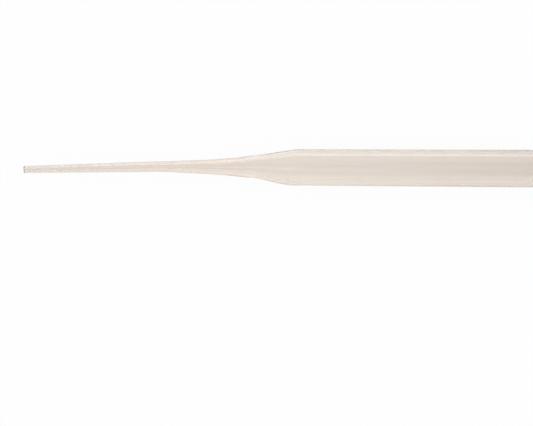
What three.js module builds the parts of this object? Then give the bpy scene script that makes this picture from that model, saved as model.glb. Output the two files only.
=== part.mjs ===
// A plastic dropper pipette: one tube, open at both ends, drawn out at one end into a fine tip.
// Millimetres. It lies on its barrel along X, with the tip at -X, the mouth at +X and +Z up.
// The origin is on the surface it lies on, below the middle of its length.
import * as THREE from "three";

// Lengths along the tube, counted from the tip's end.
const TIP_LENGTH = 27.6; // the fine tip, which widens evenly
const NECK_LENGTH = 23.6; // from the fine tip to the full barrel
const BARREL_LENGTH = 98.8; // from the neck to the mouth
const EASE_LENGTH = 40; // the barrel's first stretch, still narrowed a little by the drawing

// Outer diameters.
const TIP_END_DIAMETER = 1.33;
const TIP_ROOT_DIAMETER = 2.07; // where the fine tip meets the neck
const BARREL_DIAMETER = 7;
const SHOULDER_NARROWING = 0.22; // how much less the barrel measures where it meets the neck

// Walls and edges.
const TIP_WALL = 0.45;
const BARREL_WALL = 0.45;
const END_ROUNDING = 0.08; // both ends are cut square, with their edges just broken

// How far the drawing left the tube out of true, sideways.
const TIP_BEND = 0.7; // the tip's end stands this far to the -Y side
const BENT_LENGTH = 25; // the stretch of the tip that leans
const NECK_SWAY = 0.08; // the neck wanders this far to either side
const SWAY_LENGTH = 10.7; // the last stretch of the neck, where it does

// Facets. Few sides make flats wide enough to lie still on.
const SIDES = 20;
const TIP_STEPS = 6;
const NECK_STEPS = 10;
const SHOULDER_STEPS = 8;
const EASE_STEPS = 3;
const ROUNDING_STEPS = 2;

const TIP_RADIUS = TIP_END_DIAMETER / 2;
const BARREL_RADIUS = BARREL_DIAMETER / 2;
const SHOULDER_DIAMETER = BARREL_DIAMETER - SHOULDER_NARROWING;
const SHOULDER = TIP_LENGTH + NECK_LENGTH;
const TOTAL_LENGTH = SHOULDER + BARREL_LENGTH;

// The neck's outline turns from hollow to round at this share of its length and of its rise.
const TURN = { along: 0.84, out: 0.81 };

// A point of the outline, at shares of the neck's length and of its rise: x is the radius.
function neckPoint(along, out) {
  const diameter = THREE.MathUtils.lerp(TIP_ROOT_DIAMETER, SHOULDER_DIAMETER, out);
  return new THREE.Vector2(diameter / 2, TIP_LENGTH + NECK_LENGTH * along);
}

// Outside radius of the barrel, which widens gently from the shoulder and then runs parallel.
function barrelRadius(along) {
  const eased = THREE.MathUtils.clamp((along - SHOULDER) / EASE_LENGTH, 0, 1);
  return THREE.MathUtils.lerp(SHOULDER_DIAMETER, BARREL_DIAMETER, eased) / 2;
}

// The outer wall from the tip's end to the mouth, before the ends' edges are broken.
function outerWall() {
  const hollow = new THREE.CubicBezierCurve(
    neckPoint(0, 0),
    neckPoint(0.2, 0.14),
    neckPoint(0.51, 0.1),
    neckPoint(TURN.along, TURN.out),
  );
  const shoulder = new THREE.QuadraticBezierCurve(
    neckPoint(TURN.along, TURN.out),
    neckPoint(0.95, 1),
    neckPoint(1, 1),
  );
  const wall = [];
  for (let step = 0; step < TIP_STEPS; step += 1) {
    const share = step / TIP_STEPS;
    const diameter = THREE.MathUtils.lerp(TIP_END_DIAMETER, TIP_ROOT_DIAMETER, share);
    wall.push(new THREE.Vector2(diameter / 2, TIP_LENGTH * share));
  }
  wall.push(...hollow.getPoints(NECK_STEPS).slice(0, -1));
  wall.push(...shoulder.getPoints(SHOULDER_STEPS).slice(0, -1));
  for (let step = 0; step <= EASE_STEPS; step += 1) {
    const along = SHOULDER + (EASE_LENGTH * step) / EASE_STEPS;
    wall.push(new THREE.Vector2(barrelRadius(along), along));
  }
  wall.push(new THREE.Vector2(BARREL_RADIUS, TOTAL_LENGTH));
  return wall;
}

// Radius of the bore inside an outer radius. The wall goes evenly from the tip's to the barrel's.
function boreRadius(radius) {
  const share = (radius - TIP_RADIUS) / (BARREL_RADIUS - TIP_RADIUS);
  return radius - THREE.MathUtils.lerp(TIP_WALL, BARREL_WALL, share);
}

// A quarter-round from a wall onto a square-cut end. `out` is 1 on the outer wall and -1 in the
// bore, and `toward` is 1 at the mouth and -1 at the tip.
function brokenEdge(radius, end, out, toward) {
  const edge = [];
  for (let step = 0; step <= ROUNDING_STEPS; step += 1) {
    const turn = ((Math.PI / 2) * step) / ROUNDING_STEPS;
    edge.push(
      new THREE.Vector2(
        radius - out * END_ROUNDING * (1 - Math.cos(turn)),
        end - toward * END_ROUNDING * (1 - Math.sin(turn)),
      ),
    );
  }
  return edge;
}

// The section of the wall as one closed ring: up the outside, over the mouth, down the bore and
// round the tip's end.
function wallSection() {
  const outer = outerWall();
  const bore = outer.map((point) => new THREE.Vector2(boreRadius(point.x), point.y)).reverse();
  const ring = [
    ...brokenEdge(TIP_RADIUS, 0, 1, -1).reverse(),
    ...outer.slice(1, -1),
    ...brokenEdge(BARREL_RADIUS, TOTAL_LENGTH, 1, 1),
    ...brokenEdge(boreRadius(BARREL_RADIUS), TOTAL_LENGTH, -1, 1).reverse(),
    ...bore.slice(1, -1),
    ...brokenEdge(boreRadius(TIP_RADIUS), 0, -1, -1),
  ];
  ring.push(ring[0].clone());
  return ring;
}

// Sideways place of the tube's centre-line: the leaning tip and the wandering neck.
function sideways(along) {
  const leaning = THREE.MathUtils.clamp(1 - along / BENT_LENGTH, 0, 1);
  const swaying = THREE.MathUtils.clamp((SHOULDER - along) / SWAY_LENGTH, 0, 1);
  return -TIP_BEND * leaning - NECK_SWAY * Math.sin(2 * Math.PI * swaying);
}

// Height of the centre-line: the barrel lies on its underside, and neck and tip run on level.
function height(along) {
  return barrelRadius(Math.max(along, SHOULDER));
}

function pipetteGeometry() {
  // The flats, not the corners, of the many-sided tube keep the true radius, and one faces down.
  const cornerReach = 1 / Math.cos(Math.PI / SIDES);
  const section = wallSection().map((point) => new THREE.Vector2(point.x * cornerReach, point.y));
  const geometry = new THREE.LatheGeometry(section, SIDES, Math.PI / SIDES);
  geometry.rotateZ(-Math.PI / 2);
  const position = geometry.getAttribute("position");
  for (let vertex = 0; vertex < position.count; vertex += 1) {
    const along = position.getX(vertex);
    position.setXYZ(
      vertex,
      along - TOTAL_LENGTH / 2,
      position.getY(vertex) + sideways(along),
      position.getZ(vertex) + height(along),
    );
  }
  geometry.computeVertexNormals();
  return geometry;
}

const hazyPlastic = new THREE.MeshStandardMaterial({
  color: "#ded3c7",
  roughness: 0.3,
  metalness: 0,
  transparent: true,
  opacity: 0.6,
});

const pipette = new THREE.Mesh(pipetteGeometry(), hazyPlastic);
pipette.name = "pipette";

const group = new THREE.Group();
group.add(pipette);

export default group;
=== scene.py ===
import math
import random

import bpy
import numpy as np
from bpy.props import FloatProperty, FloatVectorProperty, PointerProperty
from bpy.types import Operator, Panel, PropertyGroup
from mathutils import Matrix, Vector


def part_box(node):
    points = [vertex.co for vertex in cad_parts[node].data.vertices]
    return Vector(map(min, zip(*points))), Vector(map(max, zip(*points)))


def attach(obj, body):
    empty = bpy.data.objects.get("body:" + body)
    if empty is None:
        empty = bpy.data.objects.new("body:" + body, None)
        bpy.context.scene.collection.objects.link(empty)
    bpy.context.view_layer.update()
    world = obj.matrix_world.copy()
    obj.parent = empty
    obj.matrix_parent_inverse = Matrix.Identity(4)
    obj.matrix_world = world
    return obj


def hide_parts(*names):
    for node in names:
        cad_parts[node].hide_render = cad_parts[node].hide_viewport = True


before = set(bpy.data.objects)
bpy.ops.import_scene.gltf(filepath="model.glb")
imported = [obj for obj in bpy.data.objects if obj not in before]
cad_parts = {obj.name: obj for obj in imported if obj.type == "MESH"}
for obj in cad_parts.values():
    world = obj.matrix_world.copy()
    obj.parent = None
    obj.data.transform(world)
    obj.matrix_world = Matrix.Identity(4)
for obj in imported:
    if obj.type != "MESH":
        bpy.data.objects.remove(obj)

bl_info = {
    "name": "Dropper pipette",
    "version": (1, 0, 0),
    "blender": (4, 5, 0),
    "location": "View3D > Sidebar > Pipette",
    "description": "Makes a drawn plastic dropper pipette and a plain stage to show it on",
    "category": "Add Mesh",
}

MM = 0.001
NODE = "pipette"
LOW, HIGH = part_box(NODE)
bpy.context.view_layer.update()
LENGTH = HIGH.x - LOW.x
DIAMETER = HIGH.z - LOW.z

# How finely the tube is made.
ROUND_STEPS = 128
TIP_STEPS = 40
NECK_STEPS = 90
SHOULDER_STEPS = 45
EASE_STEPS = 24
BARREL_STEPS = 40
EDGE_STEPS = 6

# The neck's outline is a hollow curve that turns into a round one. Each is given by its Bezier
# control points, as shares of the neck's length and of its rise.
TURN = (0.84, 0.81)
HOLLOW_CURVE = ((0, 0), (0.2, 0.14), (0.51, 0.1), TURN)
ROUND_CURVE = (TURN, (0.95, 1), (1, 1))

# The lengthwise marks in the neck are these many waves round the tube, added up.
MARK_WAVES = (5, 8, 12)
MARK_SEED = 7

POLYPROPYLENE_IOR = 1.49
NOISE_RANGE = {"From Min": 0.3, "From Max": 0.7}  # most of a noise texture's values lie in it
GIRTH_RANGE = {"From Min": 0.3, "From Max": 1.0}  # from the thin tip's girth to the barrel's
TIP_SMOOTHNESS = 0.4  # the thin tip's roughness, as a share of the barrel's
DULLER = 1.2  # how much rougher than usual the dullest patches are
GLOSSIER = 0.8  # the same for the glossiest

# Painted light and shade in the floor's glow, which only the plastic and its gloss show, where 1 is
# white. It is a painted pool of light, palest beside the shoulder and greyer further off, and two
# areas on the +Y side are painted paler again.
POOL_CENTRE = 50 * MM  # from the tip's end
POOL_RADIUS = 120 * MM
POOL_LEVEL = 0.96
POOL_RIM_LEVEL = 0.71
FAR_START, FAR_FULL = 20 * MM, 60 * MM  # distance to the +Y side
NEAR_START, NEAR_FULL = 3 * MM, 7 * MM  # distance to the +Y side
NEAR_FADES, NEAR_ENDS = 44 * MM, 54 * MM  # distance from the tip's end

# Soft boxes, all facing the pipette: the direction that each stands in, counted from +X towards
# +Y, the elevations of its lower and upper edges, its width, and the setting that holds its level.
# Angles are in degrees and widths in metres.
SOFT_BOXES = {
    "low_strip": (90, 0.3, 6, 2.0, "strip_level"),
    "back_box": (90, 20, 30, 2.0, "back_level"),
    "side_box": (-90, 20, 36, 2.0, "side_level"),
    "key_box": (202, 65, 82, 0.3, "key_level"),
    "tip_box": (180, 24, 50, 1.05, "end_level"),
    "mouth_box": (0, 24, 50, 1.05, "end_level"),
}
BOX_DISTANCE = 0.9  # of every soft box from the pipette

ROOM_BLEND = 0.35  # the room reaches its overhead level at this sine of the elevation
SENSOR_WIDTH = 36  # the camera's, in millimetres, as its lens is


def linear(hex_colour):
    """An sRGB hex colour, such as #f0e8dc, as the linear colour that shaders take."""
    values = [int(hex_colour[i : i + 2], 16) / 255 for i in (1, 3, 5)]
    return [v / 12.92 if v <= 0.04045 else ((v + 0.055) / 1.055) ** 2.4 for v in values]


def distance(name, description, default):
    """A setting that is a length, in metres."""
    return FloatProperty(
        name=name,
        description=description,
        default=default,
        min=0,
        precision=5,
        subtype="DISTANCE",
        unit="LENGTH",
    )


def share(name, description, default):
    """A setting that is a part of one whole."""
    return FloatProperty(
        name=name, description=description, default=default, min=0, max=1, subtype="FACTOR"
    )


def colour(name, description, hex_colour):
    """A setting that is a colour."""
    return FloatVectorProperty(
        name=name,
        description=description,
        default=linear(hex_colour),
        size=3,
        min=0,
        max=1,
        subtype="COLOR",
    )


def level(name, description, default):
    """A setting that is a brightness, where 1 is white."""
    return FloatProperty(name=name, description=description, default=default, min=0, soft_max=10)


class PipetteShape(PropertyGroup):
    """Sizes of the pipette."""

    tip_length: distance("Tip length", "Length of the fine tip", 27.6 * MM)
    neck_length: distance("Neck length", "Length from the fine tip to the barrel", 23.6 * MM)
    ease_length: distance("Ease length", "Barrel's first stretch, still a little narrow", 40 * MM)
    tip_diameter: distance("Tip diameter", "Outside diameter at the tip's end", 1.33 * MM)
    root_diameter: distance("Root diameter", "Outside diameter where tip meets neck", 2.07 * MM)
    narrowing: distance("Narrowing", "How much less the barrel measures at the neck", 0.22 * MM)
    tip_wall: distance("Tip wall", "Wall thickness at the tip's end", 0.45 * MM)
    barrel_wall: distance("Barrel wall", "Wall thickness of the barrel", 0.45 * MM)
    neck_gain: distance("Neck gain", "How much thicker drawing left the neck's wall", 0.15 * MM)
    gain_centre: distance("Gain centre", "From the tip's end to the thickest wall", 34 * MM)
    gain_spread: distance("Gain spread", "How far to either side the wall is thicker", 12 * MM)
    rounding: distance("Edge rounding", "Radius that breaks the edges of both ends", 0.08 * MM)
    tip_bend: distance("Tip bend", "How far the tip's end stands to one side", 0.7 * MM)
    bent_length: distance("Bent length", "Stretch of the tip that leans", 25 * MM)
    sway: distance("Neck sway", "How far the neck wanders to either side", 0.08 * MM)
    sway_length: distance("Sway length", "Last stretch of the neck, where it wanders", 10.7 * MM)
    flute: distance("Draw marks", "Depth of the lengthwise marks in the neck", 0.03 * MM)


class PipetteFinish(PropertyGroup):
    """Colours and surface of the pipette."""

    plastic: colour("Plastic", "Colour that light takes on at each surface", "#fffdfb")
    streak: colour("Streaks", "Colour of the denser flow streaks", "#fcf8f4")
    depth: colour("Depth", "Colour that light takes on in a millimetre of plastic", "#fdf7f1")
    haze: share("Haze", "Share of the light that the milky plastic scatters", 0.02)
    roughness: share("Roughness", "Roughness of the drawn surface", 0.14)
    streak_width: distance("Streak width", "Width of a flow streak round the barrel", 0.8 * MM)
    streak_length: distance("Streak length", "Length of a flow streak or die line", 45 * MM)
    line_pitch: distance("Line pitch", "Distance between die lines round the barrel", 0.5 * MM)
    line_height: distance("Line height", "Height of the die lines", 0.001 * MM)
    cloud_size: distance("Cloud size", "Width of the soft patches of duller gloss", 5 * MM)
    cut_face: colour("Cut face", "Colour of the cut faces at both ends", "#ddd3c7")
    whitened: colour("Whitened", "Colour where the knife whitened them most", "#e6ded4")
    cut_roughness: share("Cut roughness", "Roughness of the cut faces", 0.7)
    drag_width: distance("Drag width", "Width of a drag mark that the knife left", 0.06 * MM)
    drag_length: distance("Drag length", "Length of a drag mark", 0.6 * MM)
    drag_height: distance("Drag height", "Height of the drag marks", 0.002 * MM)


class PipetteStage(PropertyGroup):
    """Floor, lights and camera."""

    camera_height: distance("Camera height", "Height above the barrel's axis", 245 * MM)
    field: distance("Field width", "Width of the view at the barrel's axis", 99.63 * MM)
    from_tip: distance("View centre", "From the tip's end to the middle of the view", 45.405 * MM)
    aside: distance("View offset", "How far to the -Y side the view's middle is", 8.577 * MM)
    roll: FloatProperty(
        name="Roll",
        description="Turn of the camera about its own view",
        default=0.0057,
        subtype="ANGLE",
        unit="ROTATION",
    )
    floor_size: distance("Floor size", "Side of the square floor", 6.0)
    card: colour("Card", "Colour of the floor's card", "#f2f2f2")
    white_seen: share("White floor", "Share of the floor that shows white in any light", 0.95)
    white_through: share("White through", "The same in the plastic and its gloss", 0.95)
    # Painted light in the floor's glow, seen only in the plastic and its gloss: far to +Y, and close
    # by the thin tip and neck, where it paints in the lighter shade that they cast
    far_painted_light: level("Far floor", "Brightness added far to +Y, as the plastic shows it", 0.4)
    near_painted_light: level("Near floor", "The same close by, beside the thin tip and neck", 0.22)
    room_level: level("Room", "Brightness of the room overhead", 0.1)
    horizon_level: level("Horizon", "Brightness of the room at floor level", 0.55)
    strip_level: level("Low strip", "Brightness of the low strip light at the +Y side", 4.0)
    back_level: level("Back box", "Brightness of the soft box above the low strip", 0.85)
    side_level: level("Side box", "Brightness of the soft box at the -Y side", 0.65)
    key_level: level("Key box", "Brightness of the soft box overhead, on the tip's side", 0.75)
    end_level: level("End boxes", "Brightness of the soft boxes beyond tip and mouth", 4.4)


class Outline:
    """The tube's outer radius, wall and centre-line against the distance from the tip's end."""

    def __init__(self, shape):
        self.shape = shape
        self.tip_r = shape.tip_diameter / 2
        self.barrel_r = DIAMETER / 2
        self.root_r = shape.root_diameter / 2
        self.shoulder_r = (DIAMETER - shape.narrowing) / 2
        self.shoulder = shape.tip_length + shape.neck_length

    def neck_point(self, along, out):
        """(distance along, radius) at shares of the neck's length and of its rise."""
        return np.array([
            self.shape.tip_length + self.shape.neck_length * along,
            self.root_r + (self.shoulder_r - self.root_r) * out,
        ])

    def neck_curve(self, controls, steps):
        """Points of a Bezier curve in the neck's outline, all but the last."""
        t = np.linspace(0, 1, steps, endpoint=False)[:, None]
        order = len(controls) - 1
        return sum(
            math.comb(order, k) * (1 - t) ** (order - k) * t**k * self.neck_point(*control)
            for k, control in enumerate(controls)
        )

    def barrel_radius(self, along):
        """Outside radius of the barrel, which widens from the shoulder and then runs parallel."""
        eased = np.clip((along - self.shoulder) / self.shape.ease_length, 0, 1)
        return self.shoulder_r + (self.barrel_r - self.shoulder_r) * eased

    def wall_points(self):
        """(distance along, radius) up the outer wall, from the tip's end to the mouth."""
        tip_end = (0, self.tip_r)
        tip = np.linspace(tip_end, self.neck_point(0, 0), TIP_STEPS, endpoint=False)
        hollow = self.neck_curve(HOLLOW_CURVE, NECK_STEPS)
        shoulder = self.neck_curve(ROUND_CURVE, SHOULDER_STEPS)
        parallel = self.shoulder + self.shape.ease_length
        along = np.linspace(self.shoulder, parallel, EASE_STEPS, endpoint=False)
        ease = np.stack([along, self.barrel_radius(along)], axis=1)
        barrel = np.linspace((parallel, self.barrel_r), (LENGTH, self.barrel_r), BARREL_STEPS)
        return np.concatenate([tip, hollow, shoulder, ease, barrel])

    def bore_radius(self, along, radius):
        """Radius of the bore where the outside has this radius."""
        shape = self.shape
        grown = (radius - self.tip_r) / (self.barrel_r - self.tip_r)
        wall = shape.tip_wall + (shape.barrel_wall - shape.tip_wall) * grown
        off_centre = (along - shape.gain_centre) / shape.gain_spread
        return radius - wall - shape.neck_gain * np.exp(-(off_centre**2))

    def sideways(self, along):
        """Sideways place of the centre-line: the leaning tip and the wandering neck."""
        leaning = np.clip(1 - along / self.shape.bent_length, 0, 1)
        swaying = np.clip((self.shoulder - along) / self.shape.sway_length, 0, 1)
        return -self.shape.tip_bend * leaning - self.shape.sway * np.sin(2 * np.pi * swaying)

    def height(self, along):
        """Height of the centre-line: the barrel lies on the floor, neck and tip run on level."""
        return self.barrel_radius(np.maximum(along, self.shoulder))


def broken_edge(radius, end, out, toward, rounding):
    """A quarter-round from a wall onto a square-cut end.

    `out` is 1 on the outer wall and -1 in the bore, `toward` is 1 at the mouth and -1 at the tip.
    """
    turn = np.linspace(0, np.pi / 2, EDGE_STEPS + 1)
    return np.stack([
        end - toward * rounding * (1 - np.sin(turn)),
        radius - out * rounding * (1 - np.cos(turn)),
    ], axis=1)


def section_ring(outline):
    """The section of the wall as one closed ring of (distance along, radius)."""
    outer = outline.wall_points()
    rounding = outline.shape.rounding
    bore = np.stack([outer[:, 0], outline.bore_radius(outer[:, 0], outer[:, 1])], axis=1)[::-1]
    tip_bore = outline.bore_radius(0, outline.tip_r)
    mouth_bore = outline.bore_radius(LENGTH, outline.barrel_r)
    return np.concatenate([
        broken_edge(outline.tip_r, 0, 1, -1, rounding)[::-1],
        outer[1:-1],
        broken_edge(outline.barrel_r, LENGTH, 1, 1, rounding),
        broken_edge(mouth_bore, LENGTH, -1, 1, rounding)[::-1],
        bore[1:-1],
        broken_edge(tip_bore, 0, -1, -1, rounding),
    ])


def draw_marks(outline, along, radius, angle):
    """Depth of the lengthwise marks, deepest midway down the neck, where it was pulled hardest."""
    rng = random.Random(MARK_SEED)
    waves = [np.cos(count * angle + rng.uniform(0, 2 * np.pi)) for count in MARK_WAVES]
    risen = np.clip((radius - outline.root_r) / (outline.shoulder_r - outline.root_r), 0, 1)
    # 1 where the neck has risen halfway, and 0 at both its ends and on the barrel
    pulled = np.where(along < outline.shoulder, 4 * risen * (1 - risen), 0)
    return outline.shape.flute * pulled * (1 - sum(waves) / len(waves)) / 2


def tube_mesh(outline):
    """The tube as one closed mesh, its section turned round the centre-line.

    Faces that lie nearer to an end than the edges' rounding take the second material. Each point
    keeps "draw", which is (cosine, sine) round the tube and the distance along it, and "girth",
    its radius as a share of the barrel's.
    """
    ring = section_ring(outline)
    along, radius = ring[:, 0][:, None], ring[:, 1][:, None]
    angle = np.linspace(0, 2 * np.pi, ROUND_STEPS, endpoint=False)[None, :]
    marked = radius - draw_marks(outline, along, radius, angle)
    grid = marked.shape
    points = np.stack([
        np.broadcast_to(LOW.x + along, grid),
        outline.sideways(along) + marked * np.sin(angle),
        outline.height(along) + marked * np.cos(angle),
    ], axis=-1)
    here = np.arange(marked.size).reshape(grid)
    onward = np.roll(here, -1, axis=0)
    quads = np.stack([here, onward, np.roll(onward, -1, axis=1), np.roll(here, -1, axis=1)], axis=-1)
    mesh = bpy.data.meshes.new("pipette_tube")
    mesh.from_pydata(points.reshape(-1, 3).tolist(), [], quads.reshape(-1, 4).tolist())
    mesh.shade_smooth()

    to_end = np.minimum(along, LENGTH - along)[:, 0]
    cut = (to_end + np.roll(to_end, -1)) / 2 < outline.shape.rounding
    mesh.polygons.foreach_set("material_index", np.repeat(cut, ROUND_STEPS).astype(np.int32))

    parts = (np.cos(angle), np.sin(angle), along)
    draw = np.stack([np.broadcast_to(part, grid) for part in parts], axis=-1)
    mesh.attributes.new("draw", "FLOAT_VECTOR", "POINT").data.foreach_set("vector", draw.ravel())
    girth = np.broadcast_to(radius / outline.barrel_r, grid)
    mesh.attributes.new("girth", "FLOAT", "POINT").data.foreach_set("value", girth.ravel())
    mesh.validate()
    return mesh


def empty_tree(owner):
    """The node tree of a material or world, with nothing in it yet."""
    owner.use_nodes = True
    owner.node_tree.nodes.clear()
    return owner.node_tree


def node(tree, kind, settings=None, links=None):
    """Add a node. Settings are properties or input values, and links join an input to an output."""
    made = tree.nodes.new(kind)
    for key, value in (settings or {}).items():
        if isinstance(key, int) or key in made.inputs:
            made.inputs[key].default_value = value
        else:
            setattr(made, key, value)
    for key, source in (links or {}).items():
        tree.links.new(source, made.inputs[key])
    return made


def natural_polypropylene(finish):
    """Uncoloured polypropylene, extruded as a tube and drawn out hot at one end.

    It shows as a clear, faintly milky plastic, warm where the eye looks along the wall, with a
    soft waxy gloss. Flow streaks and die lines run along it, and the gloss dulls in soft patches
    where it cooled unevenly. The drawing stretched the thin tip smoother and glossier.
    """
    material = bpy.data.materials.new("natural_polypropylene_extruded_and_drawn")
    tree = empty_tree(material)
    draw = node(tree, "ShaderNodeAttribute", {"attribute_name": "draw"}).outputs["Vector"]
    girth = node(tree, "ShaderNodeAttribute", {"attribute_name": "girth"}).outputs["Fac"]
    radius = DIAMETER / 2

    streak_place = node(tree, "ShaderNodeVectorMath", {
        "operation": "MULTIPLY",
        1: (radius / finish.streak_width, radius / finish.streak_width, 1 / finish.streak_length),
    }, {0: draw})
    streaks = node(tree, "ShaderNodeTexNoise", {"Scale": 1.0, "Detail": 2.0}, {
        "Vector": streak_place.outputs[0],
    })
    denser = node(tree, "ShaderNodeMapRange", NOISE_RANGE, {"Value": streaks.outputs["Fac"]})
    tint = node(tree, "ShaderNodeMix", {
        "data_type": "RGBA", 6: (*finish.plastic, 1), 7: (*finish.streak, 1),
    }, {0: denser.outputs[0]})

    # Real die lines stand about a tenth of a millimetre apart. They are coarser here, to show.
    line_place = node(tree, "ShaderNodeVectorMath", {
        "operation": "MULTIPLY",
        1: (radius / finish.line_pitch, radius / finish.line_pitch, 1 / finish.streak_length),
    }, {0: draw})
    lines = node(tree, "ShaderNodeTexNoise", {"Scale": 1.0, "Detail": 1.0}, {
        "Vector": line_place.outputs[0],
    })
    # They grew finer as the tube was drawn, until in the tip they don't show.
    relief = node(tree, "ShaderNodeMapRange", GIRTH_RANGE, {"Value": girth})
    bump = node(tree, "ShaderNodeBump", {"Distance": finish.line_height}, {
        "Strength": relief.outputs[0], "Height": lines.outputs["Fac"],
    })

    place = node(tree, "ShaderNodeTexCoord").outputs["Object"]
    clouds = node(tree, "ShaderNodeTexNoise", {"Scale": 1 / finish.cloud_size, "Detail": 3.0}, {
        "Vector": place,
    })
    patchy = node(tree, "ShaderNodeMapRange", {
        **NOISE_RANGE, "To Min": GLOSSIER * finish.roughness, "To Max": DULLER * finish.roughness,
    }, {"Value": clouds.outputs["Fac"]})
    drawn = node(tree, "ShaderNodeMapRange", {
        **GIRTH_RANGE, "To Min": TIP_SMOOTHNESS, "To Max": 1.0,
    }, {"Value": girth})
    roughness = node(tree, "ShaderNodeMath", {"operation": "MULTIPLY"}, {
        0: patchy.outputs[0], 1: drawn.outputs[0],
    })

    surface = node(tree, "ShaderNodeBsdfPrincipled", {
        "IOR": POLYPROPYLENE_IOR, "Transmission Weight": 1 - finish.haze,
    }, {
        "Base Color": tint.outputs[2], "Roughness": roughness.outputs[0], "Normal": bump.outputs[0],
    })
    absorption = node(tree, "ShaderNodeVolumeAbsorption", {
        "Color": (*finish.depth, 1), "Density": 1 / MM,
    })
    node(tree, "ShaderNodeOutputMaterial", {}, {
        "Surface": surface.outputs[0], "Volume": absorption.outputs[0],
    })
    return material


def knife_cut_polypropylene(finish):
    """The same polypropylene on both ends, where a knife cut the tube square.

    The blade crushed and whitened it, so it looks milky and matt, with fine drag marks down it.
    """
    material = bpy.data.materials.new("natural_polypropylene_knife_cut")
    tree = empty_tree(material)
    place = node(tree, "ShaderNodeTexCoord").outputs["Object"]
    drag_place = node(tree, "ShaderNodeVectorMath", {
        "operation": "MULTIPLY", 1: (0, 1 / finish.drag_width, 1 / finish.drag_length),
    }, {0: place})
    drag = node(tree, "ShaderNodeTexNoise", {"Scale": 1.0, "Detail": 2.0}, {
        "Vector": drag_place.outputs[0],
    })
    white = node(tree, "ShaderNodeMapRange", NOISE_RANGE, {"Value": drag.outputs["Fac"]})
    tint = node(tree, "ShaderNodeMix", {
        "data_type": "RGBA", 6: (*finish.cut_face, 1), 7: (*finish.whitened, 1),
    }, {0: white.outputs[0]})
    bump = node(tree, "ShaderNodeBump", {"Distance": finish.drag_height}, {
        "Height": drag.outputs["Fac"],
    })
    surface = node(tree, "ShaderNodeBsdfPrincipled", {
        "Roughness": finish.cut_roughness, "IOR": POLYPROPYLENE_IOR,
    }, {
        "Base Color": tint.outputs[2], "Normal": bump.outputs[0],
    })
    node(tree, "ShaderNodeOutputMaterial", {}, {"Surface": surface.outputs[0]})
    return material


class PIPETTE_OT_tube(Operator):
    """Make the pipette's tube"""

    bl_idname = "pipette.tube"
    bl_label = "Make the tube"
    bl_options = {"REGISTER", "UNDO"}

    def execute(self, context):
        scene = context.scene
        tube = bpy.data.objects.new("pipette_tube", tube_mesh(Outline(scene.pipette_shape)))
        tube.data.materials.append(natural_polypropylene(scene.pipette_finish))
        tube.data.materials.append(knife_cut_polypropylene(scene.pipette_finish))
        scene.collection.objects.link(tube)
        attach(tube, "root")
        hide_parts(NODE)
        return {"FINISHED"}


def floor_material(stage):
    """Card, pressed matt and left white.

    It has no gloss, so all that lies on it shows is a faint soft shadow. The camera sees it as
    plain white. The plastic and its gloss show it with painted light and shade, never past white.
    """
    material = bpy.data.materials.new("matt_white_card")
    tree = empty_tree(material)
    path = node(tree, "ShaderNodeLightPath")
    place = node(tree, "ShaderNodeTexCoord").outputs["Object"]
    side = node(tree, "ShaderNodeSeparateXYZ", {}, {"Vector": place})

    through = node(tree, "ShaderNodeMath", {"operation": "MAXIMUM"}, {
        0: path.outputs["Is Glossy Ray"], 1: path.outputs["Is Transmission Ray"],
    })
    white_through = node(tree, "ShaderNodeMath", {
        "operation": "MULTIPLY", 1: stage.white_through,
    }, {0: through.outputs[0]})
    white = node(tree, "ShaderNodeMath", {"operation": "MULTIPLY_ADD", 1: stage.white_seen}, {
        0: path.outputs["Is Camera Ray"], 2: white_through.outputs[0],
    })

    # Painted pool of light: the glow that the plastic and its gloss show is palest beside the
    # shoulder and greyer further off, and painted paler far to the +Y side
    reach = node(tree, "ShaderNodeVectorMath", {
        "operation": "DISTANCE", 1: (LOW.x + POOL_CENTRE, 0, 0),
    }, {0: place})
    painted_pool = node(tree, "ShaderNodeMapRange", {
        "From Min": 0.0, "From Max": POOL_RADIUS, "To Min": POOL_LEVEL, "To Max": POOL_RIM_LEVEL,
    }, {"Value": reach.outputs["Value"]})
    far = node(tree, "ShaderNodeMapRange", {
        "interpolation_type": "SMOOTHSTEP",
        "From Min": FAR_START, "From Max": FAR_FULL, "To Min": 0.0, "To Max": stage.far_painted_light,
    }, {"Value": side.outputs["Y"]})
    # Painted shade: the glow is paler beside the thin tip and neck, which shade the floor beside
    # them less than the barrel does.
    thin = node(tree, "ShaderNodeMapRange", {
        "interpolation_type": "SMOOTHSTEP",
        "From Min": LOW.x + NEAR_FADES, "From Max": LOW.x + NEAR_ENDS,
        "To Min": stage.near_painted_light, "To Max": 0.0,
    }, {"Value": side.outputs["X"]})
    near = node(tree, "ShaderNodeMapRange", {
        "interpolation_type": "SMOOTHSTEP",
        "From Min": NEAR_START, "From Max": NEAR_FULL, "To Min": 0.0,
    }, {"Value": side.outputs["Y"], "To Max": thin.outputs[0]})
    added = node(tree, "ShaderNodeMath", {"operation": "ADD"}, {
        0: near.outputs[0], 1: far.outputs[0],
    })
    graded = node(tree, "ShaderNodeMath", {"operation": "ADD", "use_clamp": True}, {
        0: added.outputs[0], 1: painted_pool.outputs[0],
    })
    shown = node(tree, "ShaderNodeMix", {"data_type": "FLOAT", "B": 1.0}, {
        "Factor": path.outputs["Is Camera Ray"], "A": graded.outputs[0],
    })

    card = node(tree, "ShaderNodeBsdfDiffuse", {"Color": (*stage.card, 1)})
    glow = node(tree, "ShaderNodeEmission", {"Color": (1, 1, 1, 1)}, {"Strength": shown.outputs[0]})
    mix = node(tree, "ShaderNodeMixShader", {}, {
        0: white.outputs[0], 1: card.outputs[0], 2: glow.outputs[0],
    })
    node(tree, "ShaderNodeOutputMaterial", {}, {"Surface": mix.outputs[0]})
    material.cycles.emission_sampling = "NONE"  # the floor is no lamp
    return material


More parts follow.
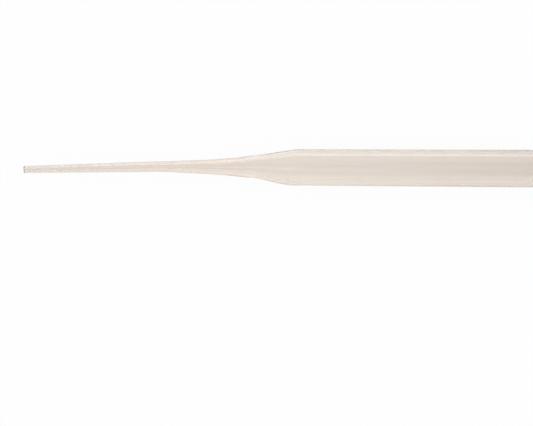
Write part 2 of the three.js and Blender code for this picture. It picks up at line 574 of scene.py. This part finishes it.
def plain_floor(stage):
    """A square of card under the pipette."""
    half = stage.floor_size / 2
    corners = [(-half, -half, 0), (half, -half, 0), (half, half, 0), (-half, half, 0)]
    mesh = bpy.data.meshes.new("floor")
    mesh.from_pydata(corners, [], [(0, 1, 2, 3)])
    mesh.materials.append(floor_material(stage))
    return bpy.data.objects.new("floor", mesh)


def soft_box(name, around, low, high, width, brightness):
    """A soft box BOX_DISTANCE away, between two elevations, that the camera doesn't see.

    A brightness of 1 is white.
    """
    up = (low + high) / 2
    height = 2 * BOX_DISTANCE * math.tan((high - low) / 2)
    direction = (math.cos(up) * math.cos(around), math.cos(up) * math.sin(around), math.sin(up))
    centre = BOX_DISTANCE * Vector(direction)
    data = bpy.data.lights.new(name, "AREA")
    data.shape = "RECTANGLE"
    data.size = width
    data.size_y = height
    data.energy = brightness * math.pi * width * height
    lamp = bpy.data.objects.new(name, data)
    lamp.location = centre
    lamp.rotation_euler = (-centre).to_track_quat("-Z", "Y").to_euler()
    lamp.visible_camera = False
    return lamp


def soft_room(stage):
    """A pale room, white where the camera sees it."""
    world = bpy.data.worlds.new("soft_room")
    tree = empty_tree(world)
    path = node(tree, "ShaderNodeLightPath")
    place = node(tree, "ShaderNodeTexCoord").outputs["Generated"]
    up = node(tree, "ShaderNodeSeparateXYZ", {}, {"Vector": place})
    room = node(tree, "ShaderNodeMapRange", {
        "interpolation_type": "SMOOTHSTEP", "From Min": 0.0, "From Max": ROOM_BLEND,
        "To Min": stage.horizon_level, "To Max": stage.room_level,
    }, {"Value": up.outputs["Z"]})
    shown = node(tree, "ShaderNodeMix", {"data_type": "FLOAT", "B": 1.0}, {
        "Factor": path.outputs["Is Camera Ray"], "A": room.outputs[0],
    })
    back = node(tree, "ShaderNodeBackground", {"Color": (1, 1, 1, 1)}, {
        "Strength": shown.outputs[0],
    })
    node(tree, "ShaderNodeOutputWorld", {}, {"Surface": back.outputs[0]})
    return world


def overhead_camera(stage):
    """A camera that looks straight down."""
    camera = bpy.data.objects.new("camera", bpy.data.cameras.new("camera"))
    camera.data.sensor_width = SENSOR_WIDTH
    camera.data.lens = SENSOR_WIDTH * stage.camera_height / stage.field
    camera.location = (LOW.x + stage.from_tip, -stage.aside, DIAMETER / 2 + stage.camera_height)
    camera.rotation_euler = (0, 0, stage.roll)
    return camera


class PIPETTE_OT_stage(Operator):
    """Make the floor, lights and camera"""

    bl_idname = "pipette.stage"
    bl_label = "Make the stage"
    bl_options = {"REGISTER", "UNDO"}

    def execute(self, context):
        scene = context.scene
        stage = scene.pipette_stage
        floor = plain_floor(stage)
        scene.collection.objects.link(floor)

        scene.world = soft_room(stage)
        for name, (around, low, high, width, setting) in SOFT_BOXES.items():
            angles = (math.radians(degrees) for degrees in (around, low, high))
            scene.collection.objects.link(soft_box(name, *angles, width, getattr(stage, setting)))

        scene.camera = overhead_camera(stage)
        scene.collection.objects.link(scene.camera)
        scene.view_settings.view_transform = "Standard"
        return {"FINISHED"}


class VIEW3D_PT_pipette(Panel):
    """Sizes, finish and stage of the pipette"""

    bl_idname = "VIEW3D_PT_pipette"
    bl_label = "Dropper pipette"
    bl_space_type = "VIEW_3D"
    bl_region_type = "UI"
    bl_category = "Pipette"

    def draw(self, context):
        scene = context.scene
        for group in (scene.pipette_shape, scene.pipette_finish, scene.pipette_stage):
            box = self.layout.box()
            for name in type(group).__annotations__:
                box.prop(group, name)
        self.layout.operator(PIPETTE_OT_tube.bl_idname)
        self.layout.operator(PIPETTE_OT_stage.bl_idname)


CLASSES = (
    PipetteShape,
    PipetteFinish,
    PipetteStage,
    PIPETTE_OT_tube,
    PIPETTE_OT_stage,
    VIEW3D_PT_pipette,
)


def register():
    for each in CLASSES:
        bpy.utils.register_class(each)
    bpy.types.Scene.pipette_shape = PointerProperty(type=PipetteShape)
    bpy.types.Scene.pipette_finish = PointerProperty(type=PipetteFinish)
    bpy.types.Scene.pipette_stage = PointerProperty(type=PipetteStage)


def unregister():
    del bpy.types.Scene.pipette_stage
    del bpy.types.Scene.pipette_finish
    del bpy.types.Scene.pipette_shape
    for each in reversed(CLASSES):
        bpy.utils.unregister_class(each)


def main():
    register()
    bpy.ops.pipette.stage()
    bpy.ops.pipette.tube()


if __name__ == "__main__":
    main()
